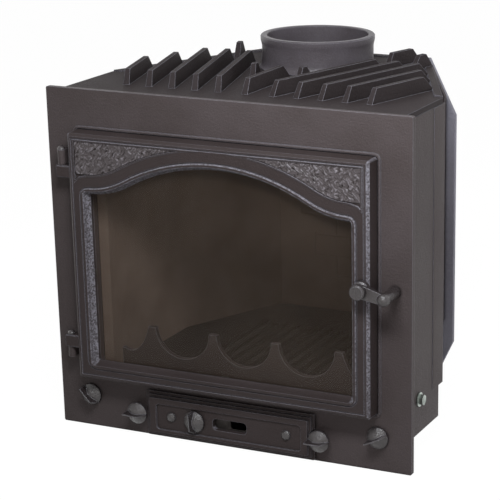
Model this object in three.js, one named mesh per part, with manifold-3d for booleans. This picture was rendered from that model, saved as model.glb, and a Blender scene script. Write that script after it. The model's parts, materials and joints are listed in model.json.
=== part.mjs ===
// Cast-iron fireplace insert: a facade plate with an arched glass door, an ash drawer below it,
// a firebox with chamfered rear corners, a finned top and a round flue collar.
// Millimetres. X to the right, Y to the back, Z up.
import * as THREE from 'three';
import { mergeVertices } from 'three/addons/utils/BufferGeometryUtils.js';
import { ConvexGeometry } from 'three/addons/geometries/ConvexGeometry.js';
import Module from 'manifold-3d';

const wasm = await Module();
wasm.setup();

// ---------------------------------------------------------------- driving dimensions

const SEAT = 0.3; // gap left between two pieces that rest on each other
const RUN = 0.4; // radial running clearance of a turning shaft
const ORIGIN_Y = 200; // depth of the model's origin behind the facade's face

const facade = { width: 700, height: 630, thick: 10, corner: 3 };
const border = { side: 60, top: 71, bottom: 103 }; // of the facade, round the door
const skirt = { inset: 22.5, wall: 8, depth: 183, bottom: 44, topGap: 0.5, root: 3 };
const door = {
  halfWidth: facade.width / 2 - border.side,
  bottom: border.bottom,
  top: facade.height - border.top,
  shiftX: -2.5,
  front: 36,
  back: 2.5,
  bevel: 5,
  draft: 1.5,
};
const doorWall = 12; // width of the door's rear edge wall
const rim = { gap: 1.2, width: 4, height: 3 }; // raised edge of the facade round the door
const stile = { side: 25, bottom: 23, top: 32 }; // the door's frame round its window
const archRise = 65;
const arch = {
  halfWidth: door.halfWidth - stile.side,
  bottom: door.bottom + stile.bottom,
  shoulder: door.top - stile.top - archRise,
  rise: archRise,
  corner: 15,
  crownShare: 0.715,
};
const bead = { height: 2.8, land: 13, shoulder: 19.7 }; // window moulding and its inner slope
const panelMargin = { side: 16, top: 14.5 }; // from the door's edge to its hammered fields
const panel = {
  side: door.halfWidth - panelMargin.side,
  top: door.top - panelMargin.top,
  start: 30,
  offset: 23,
  depth: 3,
  lip: 2.5,
  lipHeight: 0.8,
};
const glassThick = 4;
const hinge = {
  outside: 18,
  y: 14 - door.front,
  pin: 4,
  pinHead: 7,
  barrel: 7,
  arm: 9,
  web: 5,
  upperArm: [door.top - 84, door.top - 62],
  lowerArm: [door.bottom + 56, door.bottom + 79],
  upperBarrel: 27,
  lowerBarrel: 20,
};
const latch = {
  x: door.shiftX + door.halfWidth - 11.5,
  z: (door.bottom + door.top) / 2 + 9,
  hub: 15,
  length: 45,
  angle: -13,
  bar: 10,
  ball: 11.8,
  shaft: 5,
};
const knob = { radius: 20, rim: 4, height: 24, shaft: 5, standOff: 12 };
const cornerKnob = { x: facade.width / 2 - 63, z: 61.5 };
const ashDoor = { halfWidth: 168, bottom: 2, top: 88, front: 15, step: 5 };
const ashKnob = { x: ashDoor.halfWidth + 14, z: (ashDoor.bottom + ashDoor.top) / 2 - 2, shiftX: -2.5 };
const ashOpening = { halfWidth: ashDoor.halfWidth - 18, bottom: 8, top: ashDoor.top - 8 };
const airSlot = { low: -31, high: 37, z: ashKnob.z, height: 22 };
const sliderKnobX = airSlot.low - 36;
const sliderTravel = 12; // each way in the knob's slot
const ashBox = { halfWidth: ashOpening.halfWidth + 6, wall: 5, bottom: 8.5, depth: 402 };
const base = { bottom: ashDoor.top + 4, thick: 12 };
const sideGap = 39.5; // between a skirt and the firebox's wall
const wall = {
  outerX: facade.width / 2 - skirt.inset - skirt.wall - sideGap,
  thick: 8,
  bendY: 290,
  taper: 116,
  rearY: 540,
  flange: 36,
};
const band = { front: 33, rear: 17, proud: 1, ramp: 5 }; // side wall's strip on the skirt's edge
const liner = { thick: 19.7, slopeThick: 12, top: facade.height - 138 };
const grate = { halfWidth: 140.7, front: 119.3, rear: 400.7, bar: 12, thick: 12, frame: 14, ledge: 10 };
const guard = { y: 56, thick: 10, prongTop: 186, saddle: 132, pitch: 125, tip: 15, end: 12 };
const topPlate = { drop: 4, thick: 10, border: 14, borderHeight: 2.5, corner: 7 };
const fin = { height: 26.6, foot: 12, crest: 9, front: 98, lead: 15, slope: 30, angle: 15.5, length: 268 };
const finFan = { first: 56, edge: 88, each: 5, middleLength: 132 };
const collar = { back: 152, wall: 104.5, lip: 2.5, thick: 9.5, height: 61, foot: 6.5 };
const rearFin = { x: 131, back: 44, length: 60, lead: 14, slope: 24 }; // back from the collar's axis
const cornerFin = { x: 187, back: 40, length: 18, lead: 22, slope: 20 };
const stubFin = { x: 47, ahead: 174, length: 12, lead: 12, slope: 24, angle: 10, height: 30 };
const rearWall = { thick: 10, wing: 54, topCut: 110, bottomCut: 60, bottomX: 26 };
const rib = { pitch: 56, foot: 12, crest: 7, height: 12, bottom: 110, below: 70, slope: 12 };
const fireback = { gap: 5, thick: 14 };
const baffle = { front: 236, gap: 8, thick: 12 };

// ---------------------------------------------------------------- derived places

const collarY = wall.rearY - collar.back;
const topSurface = facade.height - topPlate.drop;
const topUnder = topSurface - topPlate.thick;
const skirtOuter = facade.width / 2 - skirt.inset;
const skirtInner = skirtOuter - skirt.wall;
const wallRearX = wall.outerX - wall.taper;
const floorTop = base.bottom + base.thick;
const standing = floorTop + SEAT; // what stands on the firebox floor starts here
const wallTop = topUnder - SEAT;
const hingeX = door.shiftX - door.halfWidth - hinge.outside;
const slopeRun = wall.taper / (wall.rearY - wall.bendY);
const slopeLength = Math.hypot(1, slopeRun);
const sideBolt = { y: 88, z: floorTop + 4, shank: 6, flange: 13, flat: 9 };
const latchBar = {
  x: latch.x + latch.length * Math.cos(THREE.MathUtils.degToRad(latch.angle)),
  z: latch.z + latch.length * Math.sin(THREE.MathUtils.degToRad(latch.angle)),
};

// X of a line parallel to the firebox's slanted wall, a distance inside its outer face.
function slopeX(y, inside) {
  return wall.outerX - (y - wall.bendY) * slopeRun - inside * slopeLength;
}

// Y where that line meets a given X.
function slopeY(x, inside) {
  return wall.bendY + (wall.outerX - inside * slopeLength - x) / slopeRun;
}

// ---------------------------------------------------------------- materials

function material(color, roughness, metalness) {
  return new THREE.MeshStandardMaterial({ color, roughness, metalness });
}

const castIron = material(0x4d4647, 0.62, 0.35);
const castDark = material(0x3b3534, 0.7, 0.3);
const liningIron = material(0x2f2a27, 0.85, 0.2);
const steel = material(0x6a6664, 0.45, 0.8);
const zinc = material(0x9aa39e, 0.35, 0.9);
const ropeFibre = material(0x2b2927, 0.95, 0);
const ceramicGlass = new THREE.MeshStandardMaterial({
  color: 0x3a332d,
  roughness: 0.06,
  metalness: 0,
  transparent: true,
  opacity: 0.35,
});

// ---------------------------------------------------------------- solids

function signedVolume(positions, index) {
  const a = new THREE.Vector3();
  const b = new THREE.Vector3();
  const c = new THREE.Vector3();
  let volume = 0;
  for (let i = 0; i < index.length; i += 3) {
    a.fromArray(positions, index[i] * 3);
    b.fromArray(positions, index[i + 1] * 3);
    c.fromArray(positions, index[i + 2] * 3);
    volume += a.dot(b.cross(c)) / 6;
  }
  return volume;
}

// A closed three.js geometry as a solid that can be joined and cut.
function solid(source) {
  if (!source.isBufferGeometry) return source;
  let geometry = source.clone();
  geometry.deleteAttribute('normal');
  geometry.deleteAttribute('uv');
  geometry = mergeVertices(geometry, 1e-4);
  const vertProperties = new Float32Array(geometry.attributes.position.array);
  const triVerts = new Uint32Array(geometry.index.array);
  if (signedVolume(vertProperties, triVerts) < 0) {
    for (let i = 0; i < triVerts.length; i += 3) {
      [triVerts[i], triVerts[i + 1]] = [triVerts[i + 1], triVerts[i]];
    }
  }
  return new wasm.Manifold(new wasm.Mesh({ numProp: 3, vertProperties, triVerts }));
}

function join(...parts) {
  return parts.map(solid).reduce((sum, part) => sum.add(part));
}

function cut(body, ...tools) {
  return tools.map(solid).reduce((rest, tool) => rest.subtract(tool), solid(body));
}

function overlap(a, b) {
  return solid(a).intersect(solid(b));
}

function geometryOf(manifold) {
  const mesh = manifold.getMesh();
  const geometry = new THREE.BufferGeometry();
  const positions = new Float32Array(mesh.vertProperties);
  geometry.setAttribute('position', new THREE.BufferAttribute(positions, 3));
  geometry.setIndex(new THREE.BufferAttribute(new Uint32Array(mesh.triVerts), 1));
  const flat = geometry.toNonIndexed();
  flat.computeVertexNormals();
  return flat;
}

function block(x0, x1, y0, y1, z0, z1) {
  const geometry = new THREE.BoxGeometry(x1 - x0, y1 - y0, z1 - z0);
  return geometry.translate((x0 + x1) / 2, (y0 + y1) / 2, (z0 + z1) / 2);
}

function shapeOf(points) {
  return new THREE.Shape(points.map(([u, v]) => new THREE.Vector2(u, v)));
}

function extrude(shape, depth, segments) {
  return new THREE.ExtrudeGeometry(shape, { depth, bevelEnabled: false, curveSegments: segments });
}

// An outline in X and Z, from depth y0 to depth y1.
function slabY(shape, y0, y1, segments = 6) {
  return extrude(shape, y1 - y0, segments).rotateX(Math.PI / 2).translate(0, y1, 0);
}

// An outline in X and Y, from height z0 to height z1.
function slabZ(shape, z0, z1, segments = 6) {
  return extrude(shape, z1 - z0, segments).translate(0, 0, z0);
}

function roundedRectangle(x0, x1, z0, z1, radius) {
  const shape = new THREE.Shape();
  const quarter = Math.PI / 2;
  shape.absarc(x1 - radius, z0 + radius, radius, -quarter, 0);
  shape.absarc(x1 - radius, z1 - radius, radius, 0, quarter);
  shape.absarc(x0 + radius, z1 - radius, radius, quarter, 2 * quarter);
  shape.absarc(x0 + radius, z0 + radius, radius, 2 * quarter, 3 * quarter);
  return shape;
}

function rod(radius, y0, y1, x, z, sides = 20) {
  return new THREE.CylinderGeometry(radius, radius, y1 - y0, sides).translate(x, (y0 + y1) / 2, z);
}

function rodX(radius, x0, x1, y, z, sides = 20) {
  const geometry = new THREE.CylinderGeometry(radius, radius, x1 - x0, sides).rotateZ(Math.PI / 2);
  return geometry.translate((x0 + x1) / 2, y, z);
}

function rodZ(radius, z0, z1, x, y, sides = 20) {
  const geometry = new THREE.CylinderGeometry(radius, radius, z1 - z0, sides).rotateX(Math.PI / 2);
  return geometry.translate(x, y, (z0 + z1) / 2);
}

// A turned form about the Y axis; the profile lists [radius, y].
function turned(profile, sides = 28) {
  return new THREE.LatheGeometry(profile.map(([r, y]) => new THREE.Vector2(r, y)), sides);
}

// A turned form about the Z axis; the profile lists [radius, z].
function turnedZ(profile, sides = 28) {
  return turned(profile, sides).rotateX(Math.PI / 2);
}

// A moulding that runs round a closed outline. outlineAt(s) gives the outline's points moved
// inwards by s, and the profile lists [s, y] round the moulding's section.
function moulding(outlineAt, profile) {
  const loops = profile.map(([s, y]) => outlineAt(s).map(([x, z]) => [x, y, z]));
  const count = loops[0].length;
  const index = [];
  loops.forEach((_, i) => {
    const here = i * count;
    const next = ((i + 1) % loops.length) * count;
    for (let j = 0; j < count; j += 1) {
      const k = (j + 1) % count;
      index.push(here + j, here + k, next + k, here + j, next + k, next + j);
    }
  });
  const geometry = new THREE.BufferGeometry();
  geometry.setAttribute('position', new THREE.Float32BufferAttribute(loops.flat(2), 3));
  geometry.setIndex(index);
  return geometry;
}

// ---------------------------------------------------------------- outlines

function arcPoints(cx, cz, radius, from, to, steps) {
  return Array.from({ length: steps + 1 }, (_, i) => {
    const angle = from + ((to - from) * i) / steps;
    return [cx + radius * Math.cos(angle), cz + radius * Math.sin(angle)];
  });
}

const archSpan = arch.halfWidth - arch.corner;
const archTurn = 2 * Math.atan(arch.rise / archSpan);
const archRadii = archSpan / Math.sin(archTurn);
const archCrown = archRadii * arch.crownShare;
const archFlare = archRadii - archCrown;
const archCrownZ = arch.shoulder + arch.rise - archCrown;

// The window's outline: a crown arc that runs out into two reversed arcs. inside moves it in.
function windowOutline(inside) {
  const right = Math.PI / 2;
  const corner = arch.corner - inside;
  const flare = archFlare + inside;
  const crown = archCrown - inside;
  const lowZ = arch.bottom + arch.corner;
  const highZ = arch.shoulder - arch.corner;
  const flareZ = arch.shoulder + archFlare;
  return [
    ...arcPoints(archSpan, lowZ, corner, -right, 0, 3),
    ...arcPoints(archSpan, highZ, corner, 0, right, 3).slice(0, -1),
    ...arcPoints(archSpan, flareZ, flare, -right, -right - archTurn, 7).slice(0, -1),
    ...arcPoints(0, archCrownZ, crown, right - archTurn, right + archTurn, 18),
    ...arcPoints(-archSpan, flareZ, flare, archTurn - right, -right, 7).slice(1),
    ...arcPoints(-archSpan, highZ, corner, right, 2 * right, 3).slice(1),
    ...arcPoints(-archSpan, lowZ, corner, 2 * right, 3 * right, 3),
  ].map(([x, z]) => [x + door.shiftX, z]);
}

function doorOutline(inside, corner = 6) {
  const half = door.halfWidth - inside;
  const radius = Math.max(corner - inside, 1);
  const [low, high] = [door.bottom + inside, door.top - inside];
  return [
    ...arcPoints(half - radius, low + radius, radius, -Math.PI / 2, 0, 3),
    ...arcPoints(half - radius, high - radius, radius, 0, Math.PI / 2, 3),
    ...arcPoints(radius - half, high - radius, radius, Math.PI / 2, Math.PI, 3),
    ...arcPoints(radius - half, low + radius, radius, Math.PI, 1.5 * Math.PI, 3),
  ].map(([x, z]) => [x + door.shiftX, z]);
}

// A plan outline given for X > 0, closed by its mirror image.
function mirrored(points) {
  return shapeOf([...points, ...points.map(([x, y]) => [-x, y]).reverse()]);
}

// ---------------------------------------------------------------- the assembly

const insert = new THREE.Group();
insert.position.y = -ORIGIN_Y;

function add(name, body, look) {
  const mesh = new THREE.Mesh(geometryOf(solid(body)), look);
  mesh.name = name;
  insert.add(mesh);
}

function bothSides(build) {
  build('left', -1);
  build('right', 1);
}

function mirrorX(body, side) {
  return side > 0 ? solid(body) : solid(body).mirror([1, 0, 0]);
}

// ---------------------------------------------------------------- facade

// A hinge barrel on its web: the upper one stands over the door's arm, the lower one carries it.
function hingeBarrel(low, high) {
  const barrel = rodZ(hinge.barrel, low, high, hingeX, hinge.y);
  const web = block(hingeX - hinge.web, hingeX + hinge.web, hinge.y, 1, low, high);
  return cut(join(barrel, web), rodZ(hinge.pin + RUN, low - 1, high + 1, hingeX, hinge.y));
}

const upperBarrel = [hinge.upperArm[1] + SEAT, hinge.upperArm[1] + hinge.upperBarrel];
const lowerBarrel = [hinge.lowerArm[0] - hinge.lowerBarrel, hinge.lowerArm[0] - SEAT];

function facadePlate() {
  const half = facade.width / 2;
  const outline = roundedRectangle(-half, half, 0, facade.height, facade.corner);
  const plate = slabY(outline, 0, facade.thick);
  const edge = moulding((s) => doorOutline(s), [
    [-rim.gap, 1],
    [-rim.gap, -rim.height],
    [-rim.gap - rim.width + 1, -rim.height],
    [-rim.gap - rim.width, -rim.height + 1],
    [-rim.gap - rim.width, 1],
  ]);
  const skirts = [-1, 1].map((side) => {
    const top = topUnder - skirt.topGap;
    const wallBlock = block(skirtInner, skirtOuter, facade.thick - 1, skirt.depth, skirt.bottom, top);
    const section = (grow, y) =>
      [skirtInner - grow, skirtOuter + grow].flatMap((x) =>
        [skirt.bottom - grow, top].map((z) => new THREE.Vector3(x, y, z)),
      );
    const root = new ConvexGeometry([
      ...section(skirt.root, facade.thick - 1),
      ...section(skirt.root, facade.thick),
      ...section(0, facade.thick + skirt.root),
    ]);
    const hole = rodX(sideBolt.shank + RUN, skirtInner - 1, skirtOuter + 1, sideBolt.y, sideBolt.z);
    return mirrorX(cut(join(wallBlock, root), hole), side);
  });
  return join(plate, edge, ...skirts, hingeBarrel(...upperBarrel), hingeBarrel(...lowerBarrel));
}

function facadeOpenings() {
  const frameInside = doorWall + 16;
  const fire = roundedRectangle(
    door.shiftX - door.halfWidth + frameInside,
    door.shiftX + door.halfWidth - frameInside,
    door.bottom + doorWall + 6,
    door.top - doorWall - 6,
    18,
  );
  const ash = ashOpening;
  const ashHole = block(-ash.halfWidth, ash.halfWidth, -1, facade.thick + 1, ash.bottom, ash.top);
  const bores = [-1, 1].flatMap((side) => [
    rod(knob.shaft + RUN, -1, facade.thick + 1, side * cornerKnob.x, cornerKnob.z),
    rod(knob.shaft + RUN, -1, facade.thick + 1, side * ashKnob.x + ashKnob.shiftX, ashKnob.z),
  ]);
  return [slabY(fire, -4, facade.thick + 1), ashHole, ...bores];
}

add('front_frame', cut(facadePlate(), ...facadeOpenings()), castIron);

// ---------------------------------------------------------------- firebox shell

const slopeStart = [wall.outerX, wall.bendY];

function sideWall(side) {
  const bandInner = skirtOuter + SEAT;
  const webFront = skirt.depth + SEAT;
  const inner = wall.outerX - wall.thick;
  const outline = shapeOf([
    [inner, facade.thick + SEAT],
    [wall.outerX, facade.thick + SEAT],
    [wall.outerX, webFront],
    [bandInner, webFront],
    [bandInner, skirt.depth - band.front],
    [bandInner + band.proud, skirt.depth - band.front + band.ramp],
    [bandInner + band.proud, skirt.depth + band.rear],
    [bandInner - 3, skirt.depth + band.rear],
    [bandInner - 3, webFront + wall.thick],
    [wall.outerX, webFront + wall.thick],
    slopeStart,
    [slopeX(wall.rearY - wall.thick, 0), wall.rearY - wall.thick],
    [wallRearX + wall.flange, wall.rearY - wall.thick],
    [wallRearX + wall.flange, wall.rearY],
    [slopeX(wall.rearY, wall.thick), wall.rearY],
    [inner, slopeY(inner, wall.thick)],
  ]);
  const flangeFront = wall.rearY - wall.thick - 1;
  const bores = rearBoltHeights.map((z) =>
    rod(rearBolt.shank + RUN, flangeFront, wall.rearY + 1, rearBolt.x, z, 12),
  );
  // the flange ends under the rear wall's slanted upper corner
  const beyond = rearCorner.map(([x, z]) => [x + 1, z]);
  const corner = shapeOf([...beyond, [beyond[1][0], beyond[0][1]]]);
  const clearance = slabY(corner, flangeFront, wall.rearY + 1);
  return mirrorX(cut(slabZ(outline, standing, wallTop), clearance, ...bores), side);
}

const rearCorner = [
  [wallRearX, topSurface + 1],
  [wallRearX + rearWall.wing, facade.height - rearWall.topCut],
];
const rearBolt = { x: wallRearX + 21, shank: 5, flat: 8, head: 7 };
const rearBoltHeights = [floorTop + 56, facade.height - 150];

bothSides((name, side) => add(`side_wall_${name}`, sideWall(side), castDark));

function rearWallBody() {
  const front = wall.rearY + SEAT;
  const rear = front + rearWall.thick;
  const outline = mirrored([
    [wallRearX + rearWall.bottomX, 0],
    [wallRearX + rearWall.wing, rearWall.bottomCut],
    ...[...rearCorner].reverse(),
  ]);
  const plate = slabY(outline, front, rear);
  const ends = [rib.bottom, facade.height - rib.below];
  const crestEnds = [ends[0] + rib.slope, ends[1] - rib.slope];
  const edge = (x, width, y, heights) =>
    [-width / 2, width / 2].flatMap((dx) => heights.map((z) => new THREE.Vector3(x + dx, y, z)));
  const ribs = [-2, -1, 0, 1, 2].map((i) =>
    new ConvexGeometry([
      ...edge(i * rib.pitch, rib.foot, rear - 1, ends),
      ...edge(i * rib.pitch, rib.crest, rear + rib.height, crestEnds),
    ]),
  );
  const bores = rearBoltHeights.flatMap((z) =>
    [-rearBolt.x, rearBolt.x].map((x) => rod(rearBolt.shank + RUN, front - 1, rear + 1, x, z, 12)),
  );
  return cut(join(plate, ...ribs), ...bores);
}

add('rear_wall', rearWallBody(), castDark);

function rearBoltBody(side, z) {
  const face = wall.rearY + SEAT + rearWall.thick + SEAT;
  const x = side * rearBolt.x;
  const head = new THREE.CylinderGeometry(rearBolt.flat, rearBolt.flat, rearBolt.head, 6);
  head.translate(x, face + rearBolt.head / 2, z);
  return join(head, rod(rearBolt.shank, wall.rearY - wall.thick - 6, face + 1, x, z, 12));
}

bothSides((name, side) => {
  rearBoltHeights.forEach((z, i) => {
    add(`rear_bolt_${name}_${['lower', 'upper'][i]}`, rearBoltBody(side, z), steel);
  });
});

// ---------------------------------------------------------------- finned top and flue collar

// One cooling fin: a tapered ridge with sloping ends, turned about the front end of its crest.
function finSolid({ x, front, length, lead, slope, angle, height }) {
  const foot = topSurface - 0.5;
  const ridge = (width, z, from, to) =>
    [-width / 2, width / 2].flatMap((w) => [from, to].map((y) => new THREE.Vector3(w, y, z)));
  const points = [
    ...ridge(fin.foot, foot, -lead, length + slope),
    ...ridge(fin.crest, topSurface + height, 0, length),
  ];
  return new ConvexGeometry(points).rotateZ(THREE.MathUtils.degToRad(-angle)).translate(x, front, 0);
}

// How far a fin of the fan can run before it meets the border on the plate's slanted side.
function finReach(x) {
  const angle = THREE.MathUtils.degToRad(fin.angle);
  const inside = topPlate.border * Math.hypot(1, topSlope);
  const free = topCorner - inside + (topPlateCornerY - fin.front) * topSlope - x;
  return free / (Math.sin(angle) + Math.cos(angle) * topSlope);
}

function fins() {
  const pitch = (topCorner - finFan.edge - finFan.first) / (finFan.each - 1);
  const rows = Array.from({ length: finFan.each }, (_, i) => {
    const x = finFan.first + i * pitch;
    return { ...fin, x, length: Math.min(fin.length, finReach(x) - fin.slope) };
  });
  const loose = [
    { ...fin, ...rearFin, front: collarY + rearFin.back },
    { ...fin, ...cornerFin, front: collarY + cornerFin.back },
    { ...stubFin, front: collarY - stubFin.ahead },
  ];
  const fans = [-1, 1].flatMap((side) =>
    [...rows, ...loose].map((row) => finSolid({ ...row, x: side * row.x, angle: side * row.angle })),
  );
  return [finSolid({ ...fin, x: 0, angle: 0, length: finFan.middleLength }), ...fans];
}

const topCorner = skirtOuter + 0.5;
const topPlateCornerY = skirt.depth + topPlate.corner;
const topSlope = (topCorner - wallRearX) / (wall.rearY - topPlateCornerY);

function topOutline(inside) {
  const slant = Math.atan(topSlope);
  const corner = inside * Math.tan(slant / 2);
  const tail = inside * Math.tan((Math.PI / 2 - slant) / 2);
  const front = facade.thick + SEAT;
  return mirrored([
    [topCorner - inside, front],
    [topCorner - inside, topPlateCornerY - corner],
    [wallRearX - tail, wall.rearY - inside],
  ]);
}

const spigotRadius = collar.wall - 4 - RUN; // the collar's short neck in the plate's hole

function topPlateBody() {
  const plate = slabZ(topOutline(0), topUnder, topSurface);
  const raised = topSurface + topPlate.borderHeight;
  const edge = cut(
    slabZ(topOutline(0), topSurface - 1, raised),
    slabZ(topOutline(topPlate.border), topSurface - 2, raised + 1),
    block(-topCorner - 1, topCorner + 1, 0, topPlateCornerY + 3, topSurface, raised + 1),
  );
  const hole = rodZ(spigotRadius + RUN, topUnder - 1, topSurface + 1, 0, collarY, 40);
  const seat = collar.wall + collar.foot + 1;
  const seatRing = rodZ(seat, topSurface, topSurface + collar.height, 0, collarY, 40);
  return cut(join(plate, edge, ...fins()), hole, seatRing);
}

add('top_plate', topPlateBody(), castDark);

function collarBody() {
  const foot = topSurface + SEAT;
  const top = topSurface + collar.height;
  const rimRadius = collar.wall + collar.lip;
  const bore = collar.wall - collar.thick;
  const profile = [
    [bore, topUnder - 4],
    [spigotRadius, topUnder - 4],
    [spigotRadius, foot],
    [collar.wall + collar.foot, foot],
    [collar.wall + collar.foot, foot + 1.5],
    [collar.wall + collar.foot * 0.5, foot + 4],
    [collar.wall + collar.foot * 0.15, foot + 9],
    [collar.wall, foot + 15],
    [collar.wall, top - 20],
    [collar.wall + collar.lip * 0.6, top - 13],
    [rimRadius, top - 9],
    [rimRadius, top - 2],
    [rimRadius - 2, top],
    [bore + 1.5, top],
    [bore, top - 1.5],
    [bore, topUnder - 4],
  ];
  return turnedZ(profile, 40).translate(0, collarY, 0);
}

add('flue_collar', collarBody(), castIron);

// ---------------------------------------------------------------- floor, grate and lining

const earHalf = sideBolt.flange + 3; // of the ears that the side bolts screw into

function basePlateBody() {
  const plate = slabZ(
    mirrored([[wall.outerX, facade.thick + SEAT], slopeStart, [wallRearX, wall.rearY]]),
    base.bottom,
    floorTop,
  );
  const ear = { front: sideBolt.y - earHalf, rear: sideBolt.y + earHalf, top: sideBolt.z + earHalf };
  const ears = [-1, 1].map((side) => {
    const reach = skirtInner - SEAT;
    const foot = block(wall.outerX - 2, reach, ear.front, ear.rear, base.bottom, floorTop);
    const lug = block(wall.outerX + SEAT, reach, ear.front, ear.rear, floorTop - 2, ear.top);
    const bore = rodX(sideBolt.shank + RUN, reach - 26, reach + 1, sideBolt.y, sideBolt.z);
    return mirrorX(cut(join(foot, lug), bore), side);
  });
  const seatDepth = grate.thick - 4;
  const rebate = block(
    -grate.halfWidth - SEAT,
    grate.halfWidth + SEAT,
    grate.front - SEAT,
    grate.rear + SEAT,
    floorTop - seatDepth,
    floorTop + 1,
  );
  const opening = block(
    grate.ledge - grate.halfWidth,
    grate.halfWidth - grate.ledge,
    grate.front + grate.ledge,
    grate.rear - grate.ledge,
    base.bottom - 1,
    floorTop,
  );
  return cut(join(plate, ...ears), rebate, opening);
}

add('base_plate', basePlateBody(), castDark);

function grateBody() {
  const low = floorTop - grate.thick + 4 + SEAT;
  const plate = block(-grate.halfWidth, grate.halfWidth, grate.front, grate.rear, low, low + grate.thick);
  const slots = Array.from({ length: 11 }, (_, i) => {
    const x = (i - 5) * 2 * grate.bar;
    const [front, rear] = [grate.front + grate.frame, grate.rear - grate.frame];
    return block(x - grate.bar / 2, x + grate.bar / 2, front, rear, low - 1, low + grate.thick + 1);
  });
  return cut(plate, ...slots);
}

add('grate', grateBody(), liningIron);

function ashBoxBody() {
  const front = facade.thick + SEAT;
  const top = base.bottom - SEAT;
  const outer = block(-ashBox.halfWidth, ashBox.halfWidth, front, ashBox.depth, 0, top);
  const half = ashBox.halfWidth - ashBox.wall;
  const inner = block(-half, half, front - 1, ashBox.depth - ashBox.wall, ashBox.bottom, top + 1);
  return cut(outer, inner);
}

add('ash_box', ashBoxBody(), castDark);

const linerInner = wall.outerX - wall.thick - SEAT - liner.thick;
const slopeInner = wall.thick + SEAT + liner.slopeThick;

function sideLinerBody(side) {
  const outer = wall.outerX - wall.thick - SEAT;
  const rear = wall.rearY - SEAT;
  const outline = shapeOf([
    [linerInner, facade.thick + 16],
    [outer, facade.thick + 16],
    [outer, slopeY(outer, wall.thick + SEAT)],
    [slopeX(rear, wall.thick + SEAT), rear],
    [slopeX(rear, slopeInner), rear],
    [linerInner, slopeY(linerInner, slopeInner)],
  ]);
  return mirrorX(slabZ(outline, standing, liner.top), side);
}

bothSides((name, side) => add(`side_liner_${name}`, sideLinerBody(side), liningIron));

// The fireback: a plain plate with a ragged field of bricks sunk as joints in its middle. Each
// course lists the places of its upright joints, from the lowest course to the highest.
const brickCourses = [
  [-24, 60],
  [-71, 13, 97],
  [-24, 60],
  [-102, -18, 66],
  [-60, 24, 108],
  [-102, -18, 66],
];
const brick = { bottom: 178, height: 41, joint: 4, depth: 3 };

function firebackBody() {
  const rear = wall.rearY - fireback.gap;
  const front = rear - fireback.thick;
  const outline = mirrored([
    [slopeX(front, slopeInner + 2 * SEAT), front],
    [slopeX(rear, slopeInner + 2 * SEAT), rear],
  ]);
  const half = brick.joint / 2;
  const joint = (x0, x1, z0, z1) =>
    block(x0 - half, x1 + half, front - 1, front + brick.depth, z0 - half, z1 + half);
  const joints = brickCourses.flatMap((course, row) => {
    const z = brick.bottom + row * brick.height;
    const around = [...course, ...(brickCourses[row - 1] ?? course)];
    return [
      joint(Math.min(...around), Math.max(...around), z, z),
      ...course.map((x) => joint(x, x, z, z + brick.height)),
    ];
  });
  const last = brickCourses.at(-1);
  const top = brick.bottom + brickCourses.length * brick.height;
  joints.push(joint(last[0], last.at(-1), top, top));
  return cut(slabZ(outline, standing, liner.top), joints.map(solid).reduce((a, b) => a.add(b)));
}

add('fireback', firebackBody(), liningIron);

function baffleBody() {
  const low = liner.top + SEAT;
  const side = wall.outerX - wall.thick - baffle.gap;
  const inside = wall.thick + baffle.gap / 2;
  const rear = wall.rearY - baffle.gap / 2;
  const outline = mirrored([
    [side, baffle.front],
    [side, slopeY(side, inside)],
    [slopeX(rear, inside), rear],
  ]);
  return slabZ(outline, low, low + baffle.thick);
}

add('baffle', baffleBody(), liningIron);

// The log guard: a bar with upright prongs and round saddles between them.
function logGuardBody() {
  const half = linerInner - SEAT;
  const shape = new THREE.Shape();
  const dip = guard.prongTop - guard.saddle;
  const prongs = [-1.5, -0.5, 0.5, 1.5].map((i) => i * guard.pitch);
  const saddle = (guard.pitch - guard.tip) / 2;
  shape.moveTo(-half, standing);
  shape.lineTo(half, standing);
  shape.lineTo(half, guard.saddle + 8);
  shape.lineTo(half - guard.end, guard.saddle + 4);
  const last = prongs[3] + guard.tip / 2;
  shape.quadraticCurveTo(last + 16, guard.saddle - 2, last, guard.prongTop);
  for (let i = 3; i > 0; i -= 1) {
    shape.lineTo(prongs[i] - guard.tip / 2, guard.prongTop);
    const middle = (prongs[i] + prongs[i - 1]) / 2;
    shape.absellipse(middle, guard.prongTop, saddle, dip, 0, -Math.PI, true, 0);
  }
  shape.lineTo(prongs[0] - guard.tip / 2, guard.prongTop);
  shape.quadraticCurveTo(-last - 16, guard.saddle - 2, guard.end - half, guard.saddle + 4);
  shape.lineTo(-half, guard.saddle + 8);
  return slabY(shape, guard.y, guard.y + guard.thick, 9);
}

add('log_guard', logGuardBody(), castDark);

// ---------------------------------------------------------------- bolts of the side skirts

function sideBoltBody(side) {
  const face = skirtOuter + SEAT;
  const flange = rodX(sideBolt.flange, face, face + 2.5, sideBolt.y, sideBolt.z, 24);
  const head = new THREE.CylinderGeometry(sideBolt.flat + 1, sideBolt.flat + 1, 9, 6).rotateZ(Math.PI / 2);
  head.translate(face + 5.5, sideBolt.y, sideBolt.z);
  const shank = rodX(sideBolt.shank, skirtInner - SEAT - 24, face + 1, sideBolt.y, sideBolt.z);
  return mirrorX(join(flange, head, shank), side);
}

bothSides((name, side) => add(`side_bolt_${name}`, sideBoltBody(side), zinc));

// ---------------------------------------------------------------- the door

const doorFront = -door.front;
const landBack = -(bead.shoulder - SEAT - 2 - SEAT - glassThick);

function doorBlock() {
  const level = (inside, y) => doorOutline(inside).map(([x, z]) => new THREE.Vector3(x, y, z));
  return new ConvexGeometry([
    ...level(0, -door.back),
    ...level(door.draft, doorFront + door.bevel),
    ...level(door.draft + door.bevel, doorFront),
  ]);
}

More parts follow.
